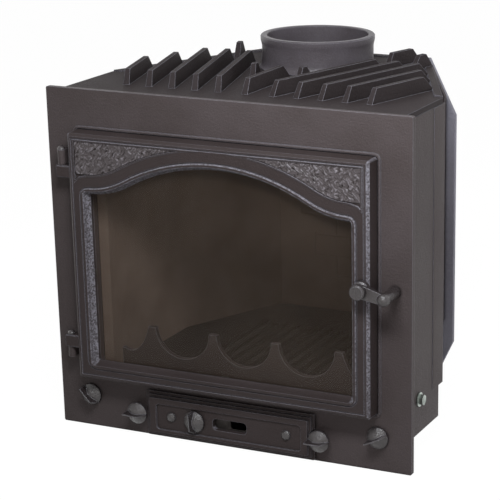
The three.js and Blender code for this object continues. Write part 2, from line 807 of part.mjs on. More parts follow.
// One upper corner's field between the arch and the door's edge.
function cornerField(side, grow, y0, y1) {
  const x0 = panel.start - grow;
  const x1 = panel.side + grow;
  const field = block(
    side > 0 ? door.shiftX + x0 : door.shiftX - x1,
    side > 0 ? door.shiftX + x1 : door.shiftX - x0,
    y0,
    y1,
    arch.shoulder,
    panel.top + grow,
  );
  return cut(field, slabY(shapeOf(windowOutline(grow - panel.offset)), y0 - 1, y1 + 1));
}

// A sheet of hammered relief, thick enough to stand on the sunk field's ground.
function hammeredSheet(side) {
  const cell = 12;
  const start = panel.start + 8;
  const columns = Math.ceil((panel.side - start) / cell);
  const rows = Math.ceil((panel.top - arch.shoulder) / cell);
  const ground = doorFront + panel.depth;
  const heightAt = (i, j) => {
    const wave = Math.sin(i * 2.4 + j * 1.7 + side) * Math.cos(j * 2.9 - i * 1.3);
    return ground - 1 - 0.8 * wave;
  };
  const corner = (i, j, y) => [door.shiftX + side * (start + i * cell), y, arch.shoulder + j * cell];
  const positions = [];
  const index = [];
  const at = (i, j, layer) => (layer * (columns + 1) + i) * (rows + 1) + j;
  for (let layer = 0; layer < 2; layer += 1) {
    for (let i = 0; i <= columns; i += 1) {
      for (let j = 0; j <= rows; j += 1) {
        positions.push(...corner(i, j, layer ? ground + 1 : heightAt(i, j)));
      }
    }
  }
  const quad = (a, b, c, d) => index.push(a, b, c, a, c, d);
  for (let i = 0; i < columns; i += 1) {
    for (let j = 0; j < rows; j += 1) {
      quad(at(i, j, 0), at(i + 1, j, 0), at(i + 1, j + 1, 0), at(i, j + 1, 0));
      quad(at(i, j, 1), at(i, j + 1, 1), at(i + 1, j + 1, 1), at(i + 1, j, 1));
    }
  }
  for (let i = 0; i < columns; i += 1) {
    quad(at(i, 0, 0), at(i, 0, 1), at(i + 1, 0, 1), at(i + 1, 0, 0));
    quad(at(i, rows, 0), at(i + 1, rows, 0), at(i + 1, rows, 1), at(i, rows, 1));
  }
  for (let j = 0; j < rows; j += 1) {
    quad(at(0, j, 0), at(0, j + 1, 0), at(0, j + 1, 1), at(0, j, 1));
    quad(at(columns, j, 0), at(columns, j, 1), at(columns, j + 1, 1), at(columns, j + 1, 0));
  }
  const geometry = new THREE.BufferGeometry();
  geometry.setAttribute('position', new THREE.Float32BufferAttribute(positions, 3));
  geometry.setIndex(index);
  return overlap(geometry, cornerField(side, 0, ground - 9, ground + 9));
}

function windowMoulding() {
  const crest = doorFront - bead.height;
  return moulding(windowOutline, [
    [0, doorFront + 3],
    [0, doorFront - 0.6],
    [1.6, crest + 0.4],
    [4, crest],
    [6.2, crest + 0.9],
    [7.6, doorFront + 2],
    [9.5, doorFront + 9],
    [bead.land, doorFront + 13],
    [bead.land, -bead.shoulder],
    [0, -bead.shoulder],
  ]);
}

const ropeChannel = { outer: 2.3, width: 7.4, depth: 4.9 };

function doorFrameBody() {
  const through = slabY(shapeOf(windowOutline(6)), doorFront - 9, 9);
  const glassSeat = slabY(shapeOf(windowOutline(0)), -bead.shoulder, 9);
  const rearPocket = slabY(shapeOf(doorOutline(doorWall)), landBack, 9);
  const cornerPocket = cut(
    slabY(shapeOf(doorOutline(doorWall + 4)), doorFront + 10, landBack + 1),
    slabY(shapeOf(windowOutline(-14)), doorFront, 9),
    block(-400, 400, doorFront, 9, 0, arch.shoulder),
  );
  const channel = moulding((s) => doorOutline(s), [
    [ropeChannel.outer, 1],
    [ropeChannel.outer + ropeChannel.width, 1],
    [ropeChannel.outer + ropeChannel.width, -door.back - ropeChannel.depth],
    [ropeChannel.outer, -door.back - ropeChannel.depth],
  ]);
  const edgeInside = door.draft + door.bevel;
  const groove = moulding((s) => doorOutline(s), [
    [edgeInside + 3, doorFront - 5],
    [edgeInside + 5, doorFront - 5],
    [edgeInside + 5, doorFront + 1],
    [edgeInside + 3, doorFront + 1],
  ]);
  const beadGroove = moulding(windowOutline, [
    [-2, doorFront - 5],
    [0.4, doorFront - 5],
    [0.4, doorFront + 1],
    [-2, doorFront + 1],
  ]);
  const lipFront = doorFront - panel.lipHeight;
  const lips = [-1, 1].map((side) => cornerField(side, panel.lip, lipFront, doorFront + 1));
  const fields = [-1, 1].map((side) => cornerField(side, 0, doorFront - 9, doorFront + panel.depth));
  const plain = cut(join(doorBlock(), ...lips), through, groove, beadGroove, ...fields);
  const pivotBoss = rod(11, doorFront - bead.height, doorFront + 1, latch.x, latch.z);
  const worked = join(plain, windowMoulding(), hammeredSheet(-1), hammeredSheet(1), pivotBoss);
  const pivotBore = rod(latch.shaft + RUN, doorFront - 9, doorFront + 22, latch.x, latch.z);
  const hollow = cut(worked, glassSeat, rearPocket, cornerPocket, channel, pivotBore, ...clipBores());
  const edge = door.shiftX - door.halfWidth + 3;
  const arms = [hinge.upperArm, hinge.lowerArm].map(([low, high]) => {
    const [front, back] = [hinge.y - hinge.arm, hinge.y + hinge.arm];
    const tier = (inside, y0) => {
      const outline = roundedRectangle(hingeX - hinge.arm + inside, edge, low + inside, high - inside, 2);
      return slabY(outline, y0, back, 3);
    };
    const bore = rodZ(hinge.pin + RUN, low - 1, high + 1, hingeX, hinge.y);
    return cut(join(tier(0, front + 1.5), tier(1.5, front)), bore);
  });
  return join(hollow, ...arms);
}

// Four flat clips hold the glass: each is a strap that is screwed beside the window.
const clipPlaces = [
  { name: 'left', x: door.shiftX - arch.halfWidth - 5.5, z: 300, turn: 0 },
  { name: 'right', x: door.shiftX + arch.halfWidth + 5.5, z: 250, turn: Math.PI },
  { name: 'lower', x: door.shiftX, z: arch.bottom - 5.5, turn: Math.PI / 2 },
  { name: 'upper', x: door.shiftX, z: arch.shoulder + arch.rise + 5.5, turn: -Math.PI / 2 },
];
const clipScrew = { radius: 2, head: 4.2, depth: 9 };

function clipBores() {
  const deep = landBack - clipScrew.depth - 1;
  return clipPlaces.map(({ x, z }) => rod(clipScrew.radius + RUN, deep, 0, x, z, 10));
}

add('door_frame', doorFrameBody(), castIron);

clipPlaces.forEach(({ name, x, z, turn }) => {
  const back = landBack + SEAT;
  const strap = slabY(roundedRectangle(-5.2, 17, -8, 8, 2), back, back + 2, 3);
  const pierced = cut(strap, rod(clipScrew.radius + RUN, back - 1, back + 3, 0, 0, 10));
  const placed = geometryOf(pierced).rotateY(-turn).translate(x, 0, z);
  add(`glass_clip_${name}`, placed, steel);
  const face = back + 2 + SEAT;
  const screw = join(
    rod(clipScrew.head, face, face + 2.6, x, z, 14),
    rod(clipScrew.radius, landBack - clipScrew.depth, face + 1, x, z, 10),
  );
  add(`clip_screw_${name}`, screw, steel);
});

const gasketFront = -bead.shoulder + SEAT;
add('door_glass', slabY(shapeOf(windowOutline(1)), landBack - glassThick, landBack), ceramicGlass);
add(
  'glass_gasket',
  moulding(windowOutline, [
    [2, gasketFront],
    [bead.land - 2, gasketFront],
    [bead.land - 2, gasketFront + 2],
    [2, gasketFront + 2],
  ]),
  ropeFibre,
);

const rope = { middle: ropeChannel.outer + ropeChannel.width / 2, half: ropeChannel.width / 2 - SEAT };
const ropeBack = -door.back - ropeChannel.depth + SEAT;
add(
  'door_rope',
  moulding((s) => doorOutline(s), [
    [rope.middle - rope.half, ropeBack + 2],
    [rope.middle - rope.half + 1.5, ropeBack],
    [rope.middle + rope.half - 1.5, ropeBack],
    [rope.middle + rope.half, ropeBack + 2],
    [rope.middle + rope.half, -2],
    [rope.middle + rope.half - 1.5, -SEAT],
    [rope.middle - rope.half + 1.5, -SEAT],
    [rope.middle - rope.half, -2],
  ]),
  ropeFibre,
);

// ---------------------------------------------------------------- hinge pins

// A hinge pin with a domed head, standing on the upper of its two seats.
function hingePin(low, seat) {
  const head = seat + SEAT;
  const dome = arcPoints(0, head, hinge.pinHead, 0, Math.PI / 2, 5).map(([r, z]) => [Math.max(r, 0), z]);
  const profile = [[0, low + 0.5], [hinge.pin, low + 0.5], [hinge.pin, head], ...dome];
  return turnedZ(profile, 18).translate(hingeX, hinge.y, 0);
}

add('hinge_pin_upper', hingePin(hinge.upperArm[0], upperBarrel[1]), steel);
add('hinge_pin_lower', hingePin(lowerBarrel[0], hinge.lowerArm[1]), steel);

// ---------------------------------------------------------------- the latch

const hubFace = doorFront - bead.height - SEAT;
const armFront = hubFace - 17.5;
const armBack = hubFace - 9;
const ballY = (armFront + armBack) / 2;

function latchLever() {
  const hub = turned([
    [0, hubFace],
    [latch.hub, hubFace],
    [latch.hub, hubFace - 9],
    [latch.hub - 3, hubFace - 11],
    [latch.hub - 3, armFront - 1],
    [0, armFront - 1],
  ]);
  const reach = latch.length;
  const shape = shapeOf([[0, -12], [reach, 1 - latch.bar], [reach, latch.bar - 1], [0, 12]]);
  const arm = slabY(shape, armFront, armBack);
  const halfCircle = arcPoints(0, 0, latch.ball, -Math.PI / 2, Math.PI / 2, 10);
  const ball = turned(halfCircle, 20).translate(reach, ballY, 0);
  const socket = rod(latch.bar + SEAT, ballY + 3, 0, reach, 0, 24);
  const level = geometryOf(cut(join(hub, arm, ball), socket));
  level.rotateY(-THREE.MathUtils.degToRad(latch.angle)).translate(latch.x, 0, latch.z);
  return cut(level, rod(latch.shaft + RUN, -99, 0, latch.x, latch.z));
}

add('latch_lever', latchLever(), castIron);

const barBack = -2 * SEAT;
const barProfile = [
  [0, barBack],
  [latch.bar - 1.5, barBack],
  [latch.bar, barBack - 1.5],
  [latch.bar, ballY + 3 + SEAT],
  [0, ballY + 3 + SEAT],
];
add('latch_bar', turned(barProfile, 24).translate(latchBar.x, 0, latchBar.z), castDark);

const capBack = armFront - 1 - SEAT;
const pivotProfile = [
  [0, doorFront + 21.5],
  [latch.shaft, doorFront + 21.5],
  [latch.shaft, capBack],
  [13.5, capBack],
  [13.5, capBack - 7],
  [11.5, capBack - 9.5],
  [0, capBack - 9.5],
];
add('latch_pivot', turned(pivotProfile).translate(latch.x, 0, latch.z), castDark);

// ---------------------------------------------------------------- turning knobs

// A conical knob with a finger blade across it. The blade's sloping end lies at the given
// angle and its square end, the pointer, opposite. standOff is the length of the knob's neck.
function knobBody(face, bladeAngle, shaftEnd, standOff = 0) {
  const foot = face - standOff;
  const ridge = foot - knob.height;
  const cone = turned([
    [0, face],
    [knob.radius * 0.55, face],
    [knob.radius * 0.55, foot],
    [knob.radius, foot],
    [knob.radius, foot - knob.rim],
    [knob.radius - 1.5, foot - knob.rim - 1.5],
    [knob.radius * 0.3, ridge + 10],
    [0, ridge + 9],
  ], 24);
  const blade = new ConvexGeometry(
    [-1, 1].flatMap((w) => [
      new THREE.Vector3(1 - knob.radius, foot - 1, 3 * w),
      new THREE.Vector3(knob.radius - 1, foot - 1, 3 * w),
      new THREE.Vector3(knob.radius + 0.5, foot - 6, 2.5 * w),
      new THREE.Vector3(11.5, ridge, w),
      new THREE.Vector3(0.5 - knob.radius, ridge, w),
    ]),
  ).rotateY(-THREE.MathUtils.degToRad(bladeAngle));
  return join(cone, blade, rod(knob.shaft, face - 1, shaftEnd, 0, 0, 16));
}

function place(body, x, z) {
  return geometryOf(solid(body)).translate(x, 0, z);
}

const valve = { radius: 21, thick: 4, front: facade.thick + SEAT };
const shaftNut = { radius: 9.8, thick: 6 };

// A round valve disc with two air ports, held on a corner knob's shaft behind the facade.
function airValve() {
  const back = valve.front + valve.thick;
  const ports = [-13, 13].map((x) => rod(4.5, valve.front - 1, back + 1, x, 0, 14));
  const bore = rod(knob.shaft + SEAT / 2, 0, back + 1, 0, 0, 16);
  return cut(rod(valve.radius, valve.front, back, 0, 0, 24), bore, ...ports);
}

// The nut that keeps an ash-door knob's shaft in the facade.
function nutBody() {
  const [front, back] = [valve.front, valve.front + shaftNut.thick];
  const nut = new THREE.CylinderGeometry(shaftNut.radius, shaftNut.radius, back - front, 6);
  return cut(nut.translate(0, (front + back) / 2, 0), rod(knob.shaft + SEAT / 2, 0, back + 1, 0, 0, 16));
}

const blades = { cornerLeft: -48.5, ashLeft: -3.5, slider: -86, ashRight: 0, cornerRight: 25.5 };

bothSides((name, side) => {
  const corner = side * cornerKnob.x;
  const ash = side * ashKnob.x + ashKnob.shiftX;
  const shaftEnd = valve.front + shaftNut.thick + 2;
  const cornerBlade = side < 0 ? blades.cornerLeft : blades.cornerRight;
  const ashBlade = side < 0 ? blades.ashLeft : blades.ashRight;
  const cornerBody = knobBody(-SEAT, cornerBlade, shaftEnd);
  const ashBody = knobBody(-SEAT, ashBlade, shaftEnd, knob.standOff);
  add(`knob_corner_${name}`, place(cornerBody, corner, cornerKnob.z), castDark);
  add(`air_valve_${name}`, place(airValve(), corner, cornerKnob.z), steel);
  add(`knob_ash_${name}`, place(ashBody, ash, ashKnob.z), castDark);
  add(`shaft_nut_${name}`, place(nutBody(), ash, ashKnob.z), steel);
});

// ---------------------------------------------------------------- ash drawer and air slider

const ashField = { side: 23, bottom: 16, top: 21 }; // the ash door's border round its sunk field
const ashPanelFace = 3 - ashDoor.front;
const slotRadius = 7;
const stemSlot = { half: 4.6, travel: sliderTravel };

function slotShape(low, high, height, radius, z) {
  return roundedRectangle(low, high, z - height / 2, z + height / 2, radius);
}

const rivet = { shank: 3.2, head: 9.5, z: airSlot.z + 1, inset: 13 };
const guide = {
  halfWidth: ashOpening.halfWidth - 22,
  low: airSlot.z - 23,
  high: airSlot.z + 25,
  front: -1 + SEAT,
  back: 6,
  lip: 4.5,
  depth: 3.6,
};
const rivetX = guide.halfWidth - rivet.inset;
const rivetPlaces = [['left', -rivetX], ['right', rivetX]];

const slotWindow = slabY(
  slotShape(airSlot.low, airSlot.high, airSlot.height, slotRadius, airSlot.z),
  -ashDoor.front - 9,
  guide.back + 9,
  4,
);

function ashDoorBody() {
  const { halfWidth, bottom, top, front, step } = ashDoor;
  const tier = (inside, y0, y1) => {
    const half = halfWidth - inside;
    return slabY(roundedRectangle(-half, half, bottom + inside, top - inside, 3), y0, y1, 3);
  };
  const body = join(tier(0, -6, -1), tier(step, -10.5, -5), tier(2 * step, -front, -9));
  const field = halfWidth - ashField.side;
  const sunk = slabY(
    roundedRectangle(-field, field, bottom + ashField.bottom, top - ashField.top, 7),
    -front - 1,
    ashPanelFace,
    4,
  );
  const stem = slabY(
    slotShape(
      sliderKnobX - stemSlot.travel - stemSlot.half,
      sliderKnobX + stemSlot.travel + stemSlot.half,
      2 * stemSlot.half,
      stemSlot.half - 0.1,
      airSlot.z,
    ),
    -99,
    9,
    4,
  );
  const relief = [-1, 1].map((side) =>
    rod(knob.radius + 2, -99, 9, side * ashKnob.x + ashKnob.shiftX, ashKnob.z, 28),
  );
  const rivetHoles = rivetPlaces.map(([, x]) => rod(rivet.shank + SEAT, -99, 9, x, rivet.z, 14));
  return cut(body, sunk, slotWindow, stem, ...relief, ...rivetHoles);
}

add('ash_door', ashDoorBody(), castIron);

function guideBody() {
  const plate = block(-guide.halfWidth, guide.halfWidth, guide.front, guide.back, guide.low, guide.high);
  const past = guide.halfWidth + 1;
  const channel = block(-past, past, -9, guide.depth, guide.low + guide.lip, guide.high - guide.lip);
  const holes = rivetPlaces.map(([, x]) => rod(rivet.shank + SEAT, -9, 9, x, rivet.z, 14));
  return cut(plate, channel, slotWindow, ...holes);
}

add('slider_guide', guideBody(), steel);

const rivetTail = guide.back + SEAT + 2.7;
rivetPlaces.forEach(([name, x]) => {
  const profile = [
    [0, rivetTail],
    [6, rivetTail],
    [6, guide.back + SEAT],
    [rivet.shank, guide.back + SEAT],
    [rivet.shank, ashPanelFace - SEAT],
    [rivet.head, ashPanelFace - SEAT],
    [rivet.head * 0.86, ashPanelFace - 3],
    [rivet.head * 0.5, ashPanelFace - 5.2],
    [0, ashPanelFace - 6],
  ];
  add(`ash_rivet_${name}`, turned(profile, 18).translate(x, 0, rivet.z), castDark);
});

function sliderBody() {
  const plate = block(
    sliderKnobX - 30,
    airSlot.high + 12,
    SEAT,
    guide.depth - SEAT,
    guide.low + guide.lip + SEAT,
    guide.high - guide.lip - SEAT,
  );
  const port = slabY(slotShape(airSlot.low + 30, airSlot.high - 6, 18, 5, airSlot.z), -9, 9, 4);
  return cut(plate, port);
}

add('air_slider', sliderBody(), steel);

const sliderKnob = knobBody(ashPanelFace - SEAT, blades.slider, ashPanelFace);
const stemEnd = rod(4, ashPanelFace - 3, 0, 0, 0, 14);
add('slider_knob', place(join(sliderKnob, stemEnd), sliderKnobX, airSlot.z), castDark);

const pan = { gap: 11, short: 72, high: 66, sheet: 2, airWay: 60 };

function ashPanBody() {
  const front = rivetTail + SEAT;
  const low = ashBox.bottom + SEAT;
  const half = ashBox.halfWidth - ashBox.wall - pan.gap;
  const rear = ashBox.depth - pan.short;
  const { high, sheet } = pan;
  const outer = block(-half, half, front, rear, low, high);
  const inner = block(sheet - half, half - sheet, front + sheet, rear - sheet, low + sheet, high + 1);
  const airWay = block(-pan.airWay, pan.airWay, front - 1, front + sheet + 1, airSlot.z - 16, high + 1);
  return cut(outer, inner, airWay);
}

add('ash_pan', ashPanBody(), steel);

export default insert;
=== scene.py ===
import json
import math

import bpy
import numpy as np
from mathutils import Matrix, Vector

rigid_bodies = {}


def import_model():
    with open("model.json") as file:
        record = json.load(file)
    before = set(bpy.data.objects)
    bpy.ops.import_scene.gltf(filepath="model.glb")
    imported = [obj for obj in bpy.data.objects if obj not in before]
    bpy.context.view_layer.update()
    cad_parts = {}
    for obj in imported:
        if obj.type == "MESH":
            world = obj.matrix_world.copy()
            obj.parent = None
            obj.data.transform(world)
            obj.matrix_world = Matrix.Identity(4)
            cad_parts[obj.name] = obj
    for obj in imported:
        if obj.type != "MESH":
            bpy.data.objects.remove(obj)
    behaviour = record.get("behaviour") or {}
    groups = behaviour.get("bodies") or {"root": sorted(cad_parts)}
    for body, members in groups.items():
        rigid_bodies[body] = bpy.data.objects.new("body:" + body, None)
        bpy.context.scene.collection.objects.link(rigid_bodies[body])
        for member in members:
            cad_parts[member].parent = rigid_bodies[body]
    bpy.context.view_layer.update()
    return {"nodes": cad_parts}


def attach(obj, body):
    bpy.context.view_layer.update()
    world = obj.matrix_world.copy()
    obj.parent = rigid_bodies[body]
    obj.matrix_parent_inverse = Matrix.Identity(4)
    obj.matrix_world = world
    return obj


for leftover in list(bpy.data.objects):
    bpy.data.objects.remove(leftover)

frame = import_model()
nodes = frame["nodes"]

MM = 0.001
FACADE_Y = -0.2  # the facade's front face in the row frame


# ---------------------------------------------------------------- node helpers


class Graph:
    """A node tree with short calls for the nodes used here."""

    def __init__(self, tree):
        self.tree = tree
        self.tree.nodes.clear()

    def node(self, kind, inputs=None, **settings):
        made = self.tree.nodes.new(kind)
        for key, value in settings.items():
            setattr(made, key, value)
        for key, value in (inputs or {}).items():
            self.feed(made.inputs[key], value)
        return made

    def feed(self, socket, value):
        if isinstance(value, bpy.types.NodeSocket):
            self.tree.links.new(value, socket)
        else:
            socket.default_value = value

    def coords(self, kind):
        return self.node("ShaderNodeTexCoord").outputs[kind]

    def noise(self, scale, detail=3.0, roughness=0.55, stretch=None):
        place = self.coords("Object")
        if stretch:
            place = self.node(
                "ShaderNodeMapping", {"Vector": place, "Scale": stretch}
            ).outputs[0]
        inputs = {"Vector": place, "Scale": scale, "Detail": detail, "Roughness": roughness}
        return self.node("ShaderNodeTexNoise", inputs).outputs["Fac"]

    def remap(self, value, low, high, to_low=0.0, to_high=1.0):
        inputs = {
            "Value": value,
            "From Min": low,
            "From Max": high,
            "To Min": to_low,
            "To Max": to_high,
        }
        return self.node("ShaderNodeMapRange", inputs, clamp=True).outputs["Result"]

    def math(self, operation, a, b=0.0):
        return self.node("ShaderNodeMath", {0: a, 1: b}, operation=operation).outputs[0]

    def mix(self, factor, a, b):
        inputs = {"Factor": factor, "A": a, "B": b}
        made = self.node("ShaderNodeMix", data_type="RGBA")
        for key, value in inputs.items():
            self.feed(made.inputs[key], value)
        return made.outputs["Result"]

    def bump(self, height, distance, strength=1.0, normal=None):
        inputs = {"Height": height, "Distance": distance, "Strength": strength}
        if normal is not None:
            inputs["Normal"] = normal
        return self.node("ShaderNodeBump", inputs).outputs["Normal"]

    def rounded_normal(self, radius, samples):
        bevel = self.node("ShaderNodeBevel", {"Radius": radius}, samples=samples)
        return bevel.outputs["Normal"]

    def surface(self, **inputs):
        shader = self.node("ShaderNodeBsdfPrincipled")
        for key, value in inputs.items():
            self.feed(shader.inputs[key.replace("_", " ")], value)
        self.finish(shader, "ShaderNodeOutputMaterial")

    def finish(self, shader, output):
        self.node(output, {"Surface": shader.outputs[0]})


def new_material(name):
    """A material and the graph of its node tree."""
    material = bpy.data.materials.new(name)
    material.use_nodes = True
    return material, Graph(material.node_tree)


def rgb(r, g, b):
    """A colour as it appears on screen, as a linear colour with alpha."""

    def linear(v):
        v /= 255
        return v / 12.92 if v <= 0.04045 else ((v + 0.055) / 1.055) ** 2.4

    return (linear(r), linear(g), linear(b), 1.0)


# ---------------------------------------------------------------- materials

# Scales of noise are in features per metre, distances in metres.
FINE_GRAIN = 620
BARE_AND_SHEEN = rgb(162, 160, 169)  # the bare casting where the paint is thin, and painted highlight on edges and slanted faces
CREVICE_SHADE = rgb(30, 25, 24)  # painted shade in inner corners and grooves
GROOVE = 0.009

# Where the door's slopes are bare and painted with a highlight, in the row frame.
WINDOW_BAND = (0.150, 0.156, 0.5485, 0.5505)  # heights where the window's band fades in and out
LEFT_EDGE = (-0.272, -0.268)  # beside it lies the door's left edge
LEFT_EDGE_LOW = (0.475, 0.49)  # which is bare and painted with a highlight above this height only


def cast_iron(name, colour, pale, rough=0.48, grain=1.0, edge=0.0016, specular=0.15, bare_and_sheen=0.0):
    """Painted sand-cast iron: fine grain, shallow waves, painted shade in grooves, rubbed edges with
    a painted highlight, and pitted slopes partly bare and partly painted with a highlight.
    """
    material, g = new_material(name)
    fine = g.noise(FINE_GRAIN, 3.0, 0.7)
    pits = g.remap(g.noise(250, 4.0, 0.65), 0.36, 0.62)
    waves = g.noise(26, 3.0, 0.5)
    blotch = g.remap(g.noise(7, 4.0, 0.6), 0.35, 0.68)
    speck = g.remap(g.noise(560, 2.0, 0.7), 0.5, 0.68)
    rounded = g.rounded_normal(edge, 6)
    flat = g.node("ShaderNodeNewGeometry").outputs["Normal"]
    turn = g.node("ShaderNodeVectorMath", {0: rounded, 1: flat}, operation="DOT_PRODUCT")
    rounded_edge = g.remap(turn.outputs["Value"], 0.985, 0.88)
    wear_and_highlight = g.math("MULTIPLY", rounded_edge, g.remap(fine, 0.35, 0.6, 0.35, 1.0))
    unshaded = g.node("ShaderNodeAmbientOcclusion", {"Distance": GROOVE}, samples=8).outputs["AO"]

    base = g.mix(g.math("MULTIPLY", blotch, 0.6), colour, pale)
    base = g.mix(g.math("MULTIPLY", speck, 0.6), base, pale)
    # painted shade: darker where the ambient occlusion finds inner corners and grooves
    base = g.mix(g.remap(unshaded, 0.25, 0.85), CREVICE_SHADE, base)
    # lighter along rounded edges: partly rubbed paint, partly a painted edge highlight
    base = g.mix(g.math("MULTIPLY", wear_and_highlight, 0.7), base, BARE_AND_SHEEN)
    if bare_and_sheen:
        bare_and_sheen_mask, depth = pitted_slopes(g)
        # painted highlight on the slanted faces, partly bare pitted casting
        base = g.mix(g.math("MULTIPLY", bare_and_sheen_mask, bare_and_sheen), base, BARE_AND_SHEEN)
        pits = g.math("ADD", pits, g.math("MULTIPLY", depth, 1.4))
    normal = g.bump(waves, 0.0022 * grain, 0.35, rounded)
    normal = g.bump(pits, 0.0004 * grain, 0.9, normal)
    normal = g.bump(fine, 0.00026 * grain, 1.0, normal)
    g.surface(
        Base_Color=base,
        Roughness=g.remap(g.math("ADD", fine, blotch), 0.4, 1.6, rough - 0.07, rough + 0.1),
        Specular_IOR_Level=specular,
        Normal=normal,
    )
    return material


def pitted_slopes(g):
    """How bare the slanted faces are and how much painted highlight they carry, and the depth of
    their pits.
    """
    axes = g.node("ShaderNodeSeparateXYZ", {0: g.coords("Normal")})
    x, y, z = [g.math("ABSOLUTE", axes.outputs[i]) for i in range(3)]
    most = g.math("MAXIMUM", g.math("MAXIMUM", x, y), z)
    # slanted faces are painted lighter, partly bare casting and partly a painted highlight
    slope = g.math("MULTIPLY", g.remap(most, 0.985, 0.93), bare_and_sheen_places(g, x))
    scab = g.remap(g.noise(300, 3.0, 0.7), 0.42, 0.58)
    bare_and_sheen_mask = g.math("MULTIPLY", slope, g.remap(scab, 0.0, 1.0, 0.15, 1.0))
    return bare_and_sheen_mask, g.math("MULTIPLY", scab, slope)


def bare_and_sheen_places(g, sideways):
    """Beside and over the window, and along the edges that face sideways."""
    place = g.node("ShaderNodeSeparateXYZ", {0: g.coords("Object")})
    height = place.outputs["Z"]
    low, over_low, under_top, top = WINDOW_BAND
    window = g.math("MULTIPLY", g.remap(height, low, over_low), g.remap(height, top, under_top))
    inside = g.remap(place.outputs["X"], *LEFT_EDGE)
    edge = g.math("MAXIMUM", inside, g.remap(height, *LEFT_EDGE_LOW))
    edges = g.math("MULTIPLY", g.remap(sideways, 0.12, 0.3, 0.0, 0.7), edge)
    return g.math("MAXIMUM", g.math("MULTIPLY", window, inside), edges)


def hammered_iron(name):
    """Cast relief with painted shade in its creases and a painted highlight on its lumps; its mesh
    carries each point's height.
    """
    material, g = new_material(name)
    lift = g.node("ShaderNodeAttribute", attribute_name="relief").outputs["Fac"]
    fine = g.noise(FINE_GRAIN, 3.0, 0.7)
    level = g.math("ADD", lift, g.math("MULTIPLY", fine, 0.3))
    tall = g.remap(level, 0.1, 0.62)
    # painted shade in the creases, lighter towards the lumps' tops
    base = g.mix(tall, rgb(34, 28, 27), rgb(76, 69, 70))
    # painted highlight on the highest lumps
    base = g.mix(g.remap(level, 0.72, 1.1), base, rgb(132, 126, 131))
    g.surface(
        Base_Color=base,
        Roughness=g.remap(tall, 0.0, 1.0, 0.5, 0.32),
        Specular_IOR_Level=g.remap(tall, 0.0, 1.0, 0.05, 0.4),
        Normal=g.bump(fine, 0.0003, 0.8),
    )
    return material


def sooty_iron(name, colour, pale):
    """Raw cast lining with a thin film of soot."""
    material, g = new_material(name)
    soot = g.remap(g.noise(9, 5.0, 0.62), 0.32, 0.7)
    grain = g.noise(420, 4.0, 0.7)
    base = g.mix(soot, colour, pale)
    base = g.mix(g.remap(grain, 0.5, 0.75, 0.0, 0.35), base, rgb(30, 26, 23))
    waves = g.bump(g.noise(40, 3.0), 0.0015, 0.4)
    g.surface(
        Base_Color=base,
        Roughness=g.remap(grain, 0.3, 0.7, 0.55, 0.8),
        Specular_IOR_Level=0.2,
        Normal=g.bump(grain, 0.0004, 0.8, waves),
    )
    return material


def worked_steel(name, colour, dark, rough, metallic=0.9):
    """Turned or rolled steel with fine marks and dull spots."""
    material, g = new_material(name)
    marks = g.noise(160, 3.0, 0.6, stretch=(1.0, 1.0, 9.0))
    spots = g.remap(g.noise(70, 4.0, 0.6), 0.42, 0.66)
    g.surface(
        Base_Color=g.mix(spots, colour, dark),
        Roughness=g.remap(g.math("ADD", marks, spots), 0.4, 1.5, rough - 0.08, rough + 0.12),
        Metallic=metallic,
        Normal=g.bump(marks, 0.0002, 0.6, g.rounded_normal(0.0007, 4)),
    )
    return material


def woven_rope(name):
    """Woven glass-fibre seal."""
    material, g = new_material(name)
    wave = g.node(
        "ShaderNodeTexWave",
        {"Vector": g.coords("Object"), "Scale": 95.0, "Distortion": 1.5},
        bands_direction="DIAGONAL",
    ).outputs["Fac"]
    fibre = g.math("MULTIPLY", g.noise(900, 3.0), 0.4)
    g.surface(
        Base_Color=g.mix(wave, rgb(26, 24, 23), rgb(70, 66, 62)),
        Roughness=0.9,
        Normal=g.bump(g.math("ADD", wave, fibre), 0.0009, 0.9),
    )
    return material


def clear_glass(name):
    """Clear ceramic glass with a faint brown cast and a light haze."""
    material, g = new_material(name)
    haze = g.remap(g.noise(5, 4.0, 0.6), 0.3, 0.75)
    g.surface(
        Base_Color=g.mix(haze, rgb(96, 80, 66), rgb(116, 99, 84)),
        Roughness=0.04,
        Alpha=g.remap(haze, 0.0, 1.0, 0.08, 0.13),
        Specular_IOR_Level=0.5,
    )
    return material


paint = cast_iron("painted_iron", rgb(73, 65, 64), rgb(91, 83, 84))
paint_door = cast_iron("door_iron", rgb(57, 49, 48), rgb(71, 63, 63), bare_and_sheen=0.85)
paint_top = cast_iron(
    "top_iron", rgb(50, 44, 44), rgb(64, 58, 59), rough=0.62, specular=0.08, edge=0.002
)
paint_collar = cast_iron(
    "collar_iron", rgb(74, 68, 70), rgb(98, 93, 99), rough=0.36, specular=0.25, grain=0.5
)
# Painted light: a much paler copy of the painted iron, so that the rear wall's wing, which the lamps
# hardly reach, looks lit.
paint_rear_lit = cast_iron("rear_iron_lit", rgb(150, 148, 159), rgb(184, 182, 194), grain=1.6)
paint_dark = cast_iron("dark_iron", rgb(48, 42, 42), rgb(62, 56, 57), rough=0.27, specular=0.7)
hammered = hammered_iron("hammered_iron")
fire_iron = cast_iron("fire_iron", rgb(58, 50, 48), rgb(72, 64, 61), rough=0.4, grain=0.25)
lining_iron = sooty_iron("lining_iron", rgb(106, 90, 79), rgb(128, 111, 99))
floor_iron = sooty_iron("floor_iron", rgb(32, 27, 24), rgb(48, 42, 38))
steel = worked_steel("plain_steel", rgb(120, 116, 112), rgb(84, 80, 76), 0.42)
dull_steel = worked_steel("dull_steel", rgb(58, 53, 50), rgb(38, 34, 32), 0.6, metallic=0.5)
zinc = worked_steel("zinc_plate", rgb(176, 184, 178), rgb(118, 126, 120), 0.3)
rope = woven_rope("seal_rope")
glass = clear_glass("ceramic_glass")

